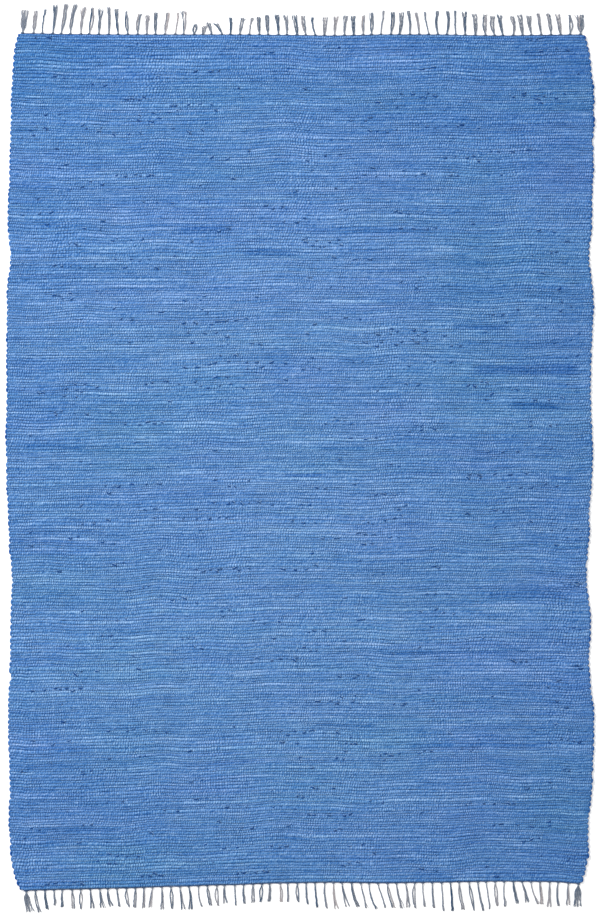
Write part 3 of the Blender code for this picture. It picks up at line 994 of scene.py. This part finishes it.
def tuft_yarns(tuft, edge, outward, openness, dice):
    """The yarns of one tuft, from the field's edge through the knot to their cut ends, and their clumps."""
    style = STYLES[dice.choice(len(STYLES), p=[style.weight for style in STYLES])]
    if tuft.spread > CORNER_SPREAD:
        style = CORNER_STYLE
    bow = dice.normal(0.0, TUFT_BOW)
    start_angle = dice.uniform(0.0, 2.0 * math.pi, style.clumps)
    clump_wave = dice.normal(0.0, CLUMP_WAVE, (style.clumps, len(FREE_SHARES)))
    clump_size = YARNS / style.clumps
    clumps = [index * style.clumps // YARNS for index in range(YARNS)]
    yarns = []
    for index, clump in enumerate(clumps):
        share = (index + 0.5) / YARNS - 0.5
        side = clump / (style.clumps - 1) - 0.5 if style.clumps > 1 else 0.0
        round_clump = (index - math.ceil(clump * clump_size)) / clump_size
        free_length = tuft.length - KNOT_OUT - abs(dice.normal(0.0, style.ragged))
        stray = dice.random() < STRAY_SHARE
        stray_side = dice.choice((-1.0, 1.0)) * dice.uniform(*STRAY_SHARES) * STRAY_REACH * stray
        wave = dice.normal(0.0, YARN_WAVE, len(FREE_SHARES))
        points = []
        for gather in GATHER_SHARES:
            x = tuft.base + share * ROOT_WIDTH * (1.0 - gather) + share * NECK_WIDTH * gather
            y = edge - ROOT_INSET + (KNOT_OUT + ROOT_INSET) * gather
            points.append((x, y, YARN_RADIUS + NECK_LIFT * gather + NECK_STAGGER * (index % 2)))
        for step, along in enumerate(FREE_SHARES):
            opened = smooth(min(1.0, along / OPEN_BY))
            closing = smooth(max(0.0, (along - CLOSE_FROM) / (1.0 - CLOSE_FROM)))
            apart = style.apart_mid * opened * (1.0 - closing) + style.apart_tip * closing
            neck = NECK_LOOSENESS + (1.0 - NECK_LOOSENESS) * opened
            loose = style.loose_mid * neck * (1.0 - closing) + style.loose_tip * closing
            turned = start_angle[clump] + 2.0 * math.pi * (round_clump + style.twist * along)
            x = tuft.base + (tuft.tip - tuft.base) * along ** LEAN_POWER + bow * math.sin(math.pi * along)
            x += side * apart * tuft.spread + clump_wave[clump][step] * along
            x += 0.5 * openness * loose * tuft.spread * math.cos(turned) + wave[step] * along
            x += stray_side * max(0.0, along - STRAY_FROM) ** STRAY_POWER
            level = 0.5 + 0.5 * math.sin(turned)
            z = YARN_RADIUS + level * PILE * (1.0 - PILE_FALL * along)
            z += KNOT_LIFT * max(0.0, 1.0 - along / KNOT_FADE)
            points.append((x, edge + KNOT_OUT + free_length * along, z))
        yarns.append(points)
    yarns = np.array(yarns)
    yarns[:, :, 1] = edge + outward * (yarns[:, :, 1] - edge)
    return yarns, clumps


def tuft_knot(tuft, edge, outward, dice):
    """The knot's wraps round the neck of a tuft."""
    turned = 2.0 * np.pi * KNOT_TURNS * np.linspace(0.0, 1.0, KNOT_STATIONS) + dice.uniform(0.0, 6.28)
    reach = KNOT_REACH * (CORNER_KNOT if tuft.spread > CORNER_SPREAD else 1.0)
    x = tuft.base + reach * np.cos(turned)
    y = edge + outward * (KNOT_OUT + np.linspace(-KNOT_HALF_LENGTH, KNOT_HALF_LENGTH, KNOT_STATIONS))
    return np.stack([x, y, KNOT_LEVEL + KNOT_RISE * np.sin(turned)], axis=1)


def build_fringe(name, tufts, edge_y, outward, openness, seed, material):
    """All the tufts of one end in a mesh: eight yarns each, and a knot."""
    dice = np.random.default_rng(seed)
    yarns = []
    knots = []
    yarn_tone = []
    for tuft in tufts:
        edge = float(edge_y(tuft.base))
        knots.append(tuft_knot(tuft, edge, outward, dice))
        for _ in range(CORNER_LAYERS if tuft.spread > CORNER_SPREAD else 1):
            lines, clumps = tuft_yarns(tuft, edge, outward, openness, dice)
            yarns.append(lines)
            clump_tone = dice.normal(0.0, CLUMP_TONE, max(clumps) + 1) + dice.normal(0.0, TUFT_TONE)
            yarn_tone.append(clump_tone[clumps] + dice.normal(0.0, YARN_TONE, YARNS))
    yarns = np.concatenate(yarns)
    yarns[:, :, 2] += REST_GAP
    knots = np.stack(knots)
    yarn_tone = np.concatenate(yarn_tone)[:, None] + np.linspace(ROOT_TONE, TIP_TONE, yarns.shape[1])
    knot_tone = np.repeat(dice.normal(KNOT_TONE, KNOT_TONE_SPREAD, (len(knots), 1)), KNOT_STATIONS, axis=1)
    radii = np.full(yarns.shape[:2], YARN_RADIUS)
    radii *= dice.uniform(*YARN_RADII, (len(yarns), 1))
    radii[:, -1] *= TIP_RADIUS
    cells = len(yarns) + len(knots)
    shell = Shell()
    add_yarns(shell, yarns, radii, YARN_SIDES, yarn_tone, yarns.shape[1] - 1, 0, cells)
    radii = np.full(knots.shape[:2], KNOT_YARN)
    up = (0.0, 1.0, 0.0)
    add_yarns(shell, knots, radii, YARN_SIDES, knot_tone, KNOT_STATIONS - 1, len(yarns), cells, up)
    return shell.make(name, material)


# Materials

def linear(level):
    """An 8-bit display level as a linear value."""
    share = max(level, 0.0) / 255.0
    return share / 12.92 if share <= 0.04045 else ((share + 0.055) / 1.055) ** 2.4


class Value:
    """A node's output, which can be added, subtracted and multiplied."""

    def __init__(self, graph, socket):
        self.graph = graph
        self.socket = socket

    def __add__(self, other):
        return self.graph.math("ADD", self, other)

    def __sub__(self, other):
        return self.graph.math("SUBTRACT", self, other)

    def __rsub__(self, other):
        return self.graph.math("SUBTRACT", other, self)

    def __mul__(self, other):
        return self.graph.math("MULTIPLY", self, other)


class Graph:
    """A short way to write a material: each call adds one node and gives its output."""

    def __init__(self, name):
        self.material = bpy.data.materials.new(name)
        self.material.use_nodes = True
        self.tree = self.material.node_tree
        self.shader = self.tree.nodes["Principled BSDF"]

    def put(self, socket, value):
        if isinstance(value, Value):
            self.tree.links.new(value.socket, socket)
        else:
            socket.default_value = value

    def node(self, kind, output, inputs, **settings):
        added = self.tree.nodes.new(kind)
        for name, value in settings.items():
            setattr(added, name, value)
        for name, value in inputs.items():
            self.put(added.inputs[name], value)
        return Value(self, added.outputs[output])

    def math(self, operation, *values):
        return self.node("ShaderNodeMath", 0, dict(enumerate(values)), operation=operation)

    def spread(self, value, low, high, to_low=0.0, to_high=1.0, kind="LINEAR"):
        """Maps a value from one range to another, and holds it there."""
        inputs = {"Value": value, "From Min": low, "From Max": high, "To Min": to_low, "To Max": to_high}
        return self.node("ShaderNodeMapRange", "Result", inputs, interpolation_type=kind, clamp=True)

    def vector(self, x, y, z=0.0):
        return self.node("ShaderNodeCombineXYZ", 0, {"X": x, "Y": y, "Z": z})

    def attribute(self, name):
        return self.node("ShaderNodeAttribute", "Fac", {}, attribute_name=name)

    def map_pair(self, name):
        spot = self.node("ShaderNodeUVMap", 0, {}, uv_map=name)
        return [self.node("ShaderNodeSeparateXYZ", axis, {0: spot}) for axis in "XY"]

    def noise(self, place, scale, detail, roughness):
        inputs = {"Vector": self.vector(*place), "Scale": scale, "Detail": detail, "Roughness": roughness}
        return self.node("ShaderNodeTexNoise", "Fac", inputs)

    def random(self, x, y):
        inputs = {"Vector": self.vector(x, y)}
        return self.node("ShaderNodeTexWhiteNoise", "Value", inputs, noise_dimensions="2D")

    def plies(self, turns):
        """From 0 in the groove between two plies to 1 in a ply's middle, twice a turn."""
        return self.math("ABSOLUTE", self.math("SINE", turns * math.pi))

    def tone_ramp(self, tone, mid, reach, gains=(1.0, 1.0, 1.0)):
        """A colour for a tone: the mid colour with the tone added to its display levels, most to the red."""
        ramp = self.tree.nodes.new("ShaderNodeValToRGB")
        self.put(ramp.inputs["Fac"], self.spread(tone, -reach, reach))
        elements = ramp.color_ramp.elements
        for index in range(RAMP_STOPS):
            place = index / (RAMP_STOPS - 1)
            step = (2.0 * place - 1.0) * reach
            levels = [level + step * share for level, share in zip(mid, TONE_SHARES)]
            colour = [min(1.0, linear(level) * gain) for level, gain in zip(levels, gains)]
            inner = 0 < index < RAMP_STOPS - 1
            element = elements.new(place) if inner else elements[-1 if index else 0]
            element.position = place
            element.color = (*colour, 1.0)
        return Value(self, ramp.outputs["Color"])

    def finish(self, colour, roughness, height):
        """Sets the shader. height is in millimetres."""
        bump = self.node("ShaderNodeBump", 0, {"Height": height, "Distance": 0.001, "Strength": BUMP_DEPTH})
        inputs = {"Base Color": colour, "Roughness": roughness, "Normal": bump, **COTTON}
        for name, value in inputs.items():
            self.put(self.shader.inputs[name], value)
        return self.material


def rag_material():
    """Beaten rag: puffs between the warp's crossings, in a brick pattern, with folds along the rag."""
    graph = Graph("rag_weft_cotton")
    ends, rows = graph.map_pair("weave")
    row = graph.math("FLOOR", rows)
    share = graph.math("FRACT", rows)
    x_mm = ends * (1000.0 * END_SPACING)
    y_mm = share * ROW_DEPTH_MM
    own_y = y_mm + row * ROW_STEP_MM

    def grain(kind, along=0.0, down=0.0):
        return graph.noise((x_mm * kind.along + along, own_y + down), kind.scale, kind.detail, kind.roughness)

    def drift(kind, down):
        return graph.noise((x_mm * kind.along + kind.start, down * kind.down), kind.scale, kind.detail, 0.5)

    # A puff lies between two warp ends that pass over the row, and half a puff further along in the next row.
    wobble = grain(WOBBLE) - 0.5
    slant = share * 0.22 + wobble * 0.7
    pairs = ends * 0.5 + (graph.math("FLOORED_MODULO", row, 2.0) * 0.5 + slant)
    phase = graph.math("FRACT", pairs)
    puff_random = graph.random(graph.math("FLOOR", pairs), row)
    across = graph.math("ABSOLUTE", wobble * 0.5 + (share * 2.0 - 1.0))
    rib = 1.0 - graph.math("POWER", graph.math("MINIMUM", across, 1.0), 2.8)
    pinched = graph.spread(drift(LOOSENESS, rows), *PINCH)
    swell = graph.math("POWER", graph.math("SINE", phase * math.pi), 0.85)
    puff = rib * (1.0 - (1.0 - swell) * pinched)

    # A stitch of warp shows between two puffs.
    stitch = graph.spread(graph.math("PINGPONG", phase, 0.5), *STITCH_ALONG, "SMOOTHSTEP")
    stitch = stitch * graph.spread(across, *STITCH_ACROSS, "SMOOTHSTEP")
    ply = graph.plies(y_mm * 0.55 + phase * 9.0)

    folds = grain(FOLDS)
    fibre = grain(FIBRE)
    # Painted shade in the gaps where the rag has drawn in, towards the row's edges.
    gap = graph.spread(grain(SPOTS), *GAP_SPOTS) * graph.spread(across, *GAP_ACROSS)
    tone = graph.attribute("tone")
    # Painted light and shade: lanes and crumples are lit on one side.
    tone += (grain(LANES) - grain(LANES, 0.0, SHADE_DOWN_MM)) * LANES.tone
    tone += (grain(CRUMPLE) - grain(CRUMPLE, SHADE_ALONG_MM, SHADE_DOWN_MM)) * CRUMPLE.tone
    # Painted shade in the folds and painted highlight on their ridges, from the noise that also gives their
    # bump.
    tone += (folds - 0.5) * FOLDS.tone
    tone += (fibre - 0.5) * FIBRE.tone
    tone += (puff_random - 0.5) * PUFF_TONE
    tone += gap * SPOTS.tone

    # Painted highlights: long light lines run along some rows, just off their middles, where a row's crest
    # catches the light.
    ridge = graph.spread(graph.math("ABSOLUTE", share - RIDGE_PLACE), *RIDGE, "SMOOTHSTEP")
    tone += ridge * graph.spread(drift(CREST, row), *RIDGE_HIGHLIGHT)

    # Painted shade: it is darker between the puffs, and more so where the rows are packed.
    groove = graph.spread(graph.math("MAXIMUM", puff, stitch * 0.6), *GROOVE)
    groove_shade = graph.spread(drift(PACKING, rows), *GROOVE_SHADE_TONE)
    tone -= groove * (groove_shade * (puff_random * 0.7 + 0.65))
    tone += pinched * 14.0 + 12.0

    colour = graph.tone_ramp(tone, MID_BLUE, RAMP_REACH, COLOUR_GAIN)
    tint = graph.attribute("tint")
    tinted = graph.vector(*(tint * change + 1.0 for change in TINT_CHANGE))
    colour = graph.node("ShaderNodeVectorMath", 0, {0: colour, 1: tinted}, operation="MULTIPLY")
    # The stitches get a dark blue of painted shade, darker still in the plies' grooves.
    warp = [linear(level) * gain for level, gain in zip(STITCH_IN_SHADE, COLOUR_GAIN)]
    warp = graph.node("ShaderNodeVectorMath", 0, {0: warp, "Scale": ply * 0.5 + 0.65}, operation="SCALE")
    seen = stitch * (pinched * 0.45 + 0.25)
    colour = graph.node("ShaderNodeMix", 2, {0: seen, 6: colour, 7: warp}, data_type="RGBA")

    roughness = graph.spread(fibre, *RAG_ROUGHNESS)
    height = puff * 1.9 + stitch * (ply * 0.15 + 0.75) + folds * FOLDS.height + fibre * FIBRE.height
    height += puff_random * PUFF_HEIGHT + gap * SPOTS.height
    return graph.finish(colour, roughness, height)


def yarn_material(name, mid, ply_length, groove):
    """Plied cotton yarn: its plies wind round it, with painted shade in the groove between them and a little
    fibre.
    """
    graph = Graph(name)
    round_share, along = graph.map_pair("strand")
    along_mm = along * 1000.0
    ply = graph.plies(along_mm * (1.0 / ply_length) + round_share * 2.0)
    tone = graph.attribute("tone")
    fibre = graph.noise((round_share * 3.0, along_mm, tone * 3.1), 0.9, 3.0, 0.6)
    # Painted shade in the groove between the plies.
    tone += (ply - 0.7) * groove
    tone += (fibre - 0.5) * 40.0
    colour = graph.tone_ramp(tone, mid, YARN_RAMP_REACH)
    roughness = graph.spread(fibre, *YARN_ROUGHNESS)
    return graph.finish(colour, roughness, ply * 0.22 + fibre * 0.15)


# Stage

def add_floor():
    graph = Graph("pale_floor")
    graph.shader.inputs["Base Color"].default_value = FLOOR_COLOUR
    graph.shader.inputs["Roughness"].default_value = 0.9
    floor_mesh = bpy.data.meshes.new("floor")
    corners = [(-1, -1), (1, -1), (1, 1), (-1, 1)]
    floor_mesh.from_pydata([(x * FLOOR_REACH, y * FLOOR_REACH, 0.0) for x, y in corners], [], [(0, 1, 2, 3)])
    floor_mesh.materials.append(graph.material)
    floor = placed("floor", floor_mesh)


def add_lights():
    """A large lamp far off to the upper left, and an even white sky."""
    light = bpy.data.lights.new("key", "AREA")
    light.shape = "SQUARE"
    light.size = KEY_SIZE
    light.energy = KEY_POWER
    lamp = placed("key", light)
    lamp.location = KEY_PLACE
    lamp.rotation_euler = (-Vector(KEY_PLACE)).to_track_quat("-Z", "Y").to_euler()
    world = bpy.data.worlds.new("studio")
    world.use_nodes = True
    background = world.node_tree.nodes["Background"]
    background.inputs["Color"].default_value = (1.0, 1.0, 1.0, 1.0)
    background.inputs["Strength"].default_value = SKY_STRENGTH
    bpy.context.scene.world = world


def add_camera():
    """Straight above the rug's middle."""
    camera_data = bpy.data.cameras.new("camera")
    camera_data.sensor_width = SENSOR
    camera_data.lens = SENSOR * CAMERA_HEIGHT / VIEW_LENGTH
    camera_data.clip_end = 100.0
    camera = placed("camera", camera_data)
    camera.location = (0.0, 0.0, CAMERA_HEIGHT)
    bpy.context.scene.camera = camera


# The whole rug

def build_rug():
    outline = Outline()
    dice = np.random.default_rng(5)
    rag = rag_material()
    cord = yarn_material("heading_cotton", HEADING_COLOUR, ply_length=3.4, groove=26.0)
    warp = yarn_material("warp_cotton", WARP_COLOUR, ply_length=3.0, groove=30.0)
    bands = build_bands(outline, rag, dice)
    far_tufts = lay_out_tufts(FAR_TUFTS, "heading_far", FAR_LAY, random.Random(FAR_SEED))
    near_tufts = lay_out_tufts(NEAR_TUFTS, "heading_near", NEAR_LAY, random.Random(NEAR_SEED))
    headings = [
        build_heading("heading_cord_far", "heading_far", far_tufts, outline.far_y, 1.0, cord, dice),
        build_heading("heading_cord_near", "heading_near", near_tufts, outline.near_y, -1.0, cord, dice),
    ]
    fringes = [
        build_fringe("warp_fringe_far", far_tufts, outline.far_y, 1.0, FAR_OPENNESS, FAR_SEED, warp),
        build_fringe("warp_fringe_near", near_tufts, outline.near_y, -1.0, NEAR_OPENNESS, NEAR_SEED, warp),
    ]
    for index, band in enumerate(bands):
        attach(band, "root")
        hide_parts("woven_field")
    for piece, node in zip(headings, ("heading_far", "heading_near")):
        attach(piece, "root")
        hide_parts(node)
    for piece, node in zip(fringes, ("fringe_far", "fringe_near")):
        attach(piece, "root")
        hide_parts(node)


add_camera()
build_rug()
add_floor()
add_lights()
bpy.context.scene.view_settings.view_transform = "Standard"
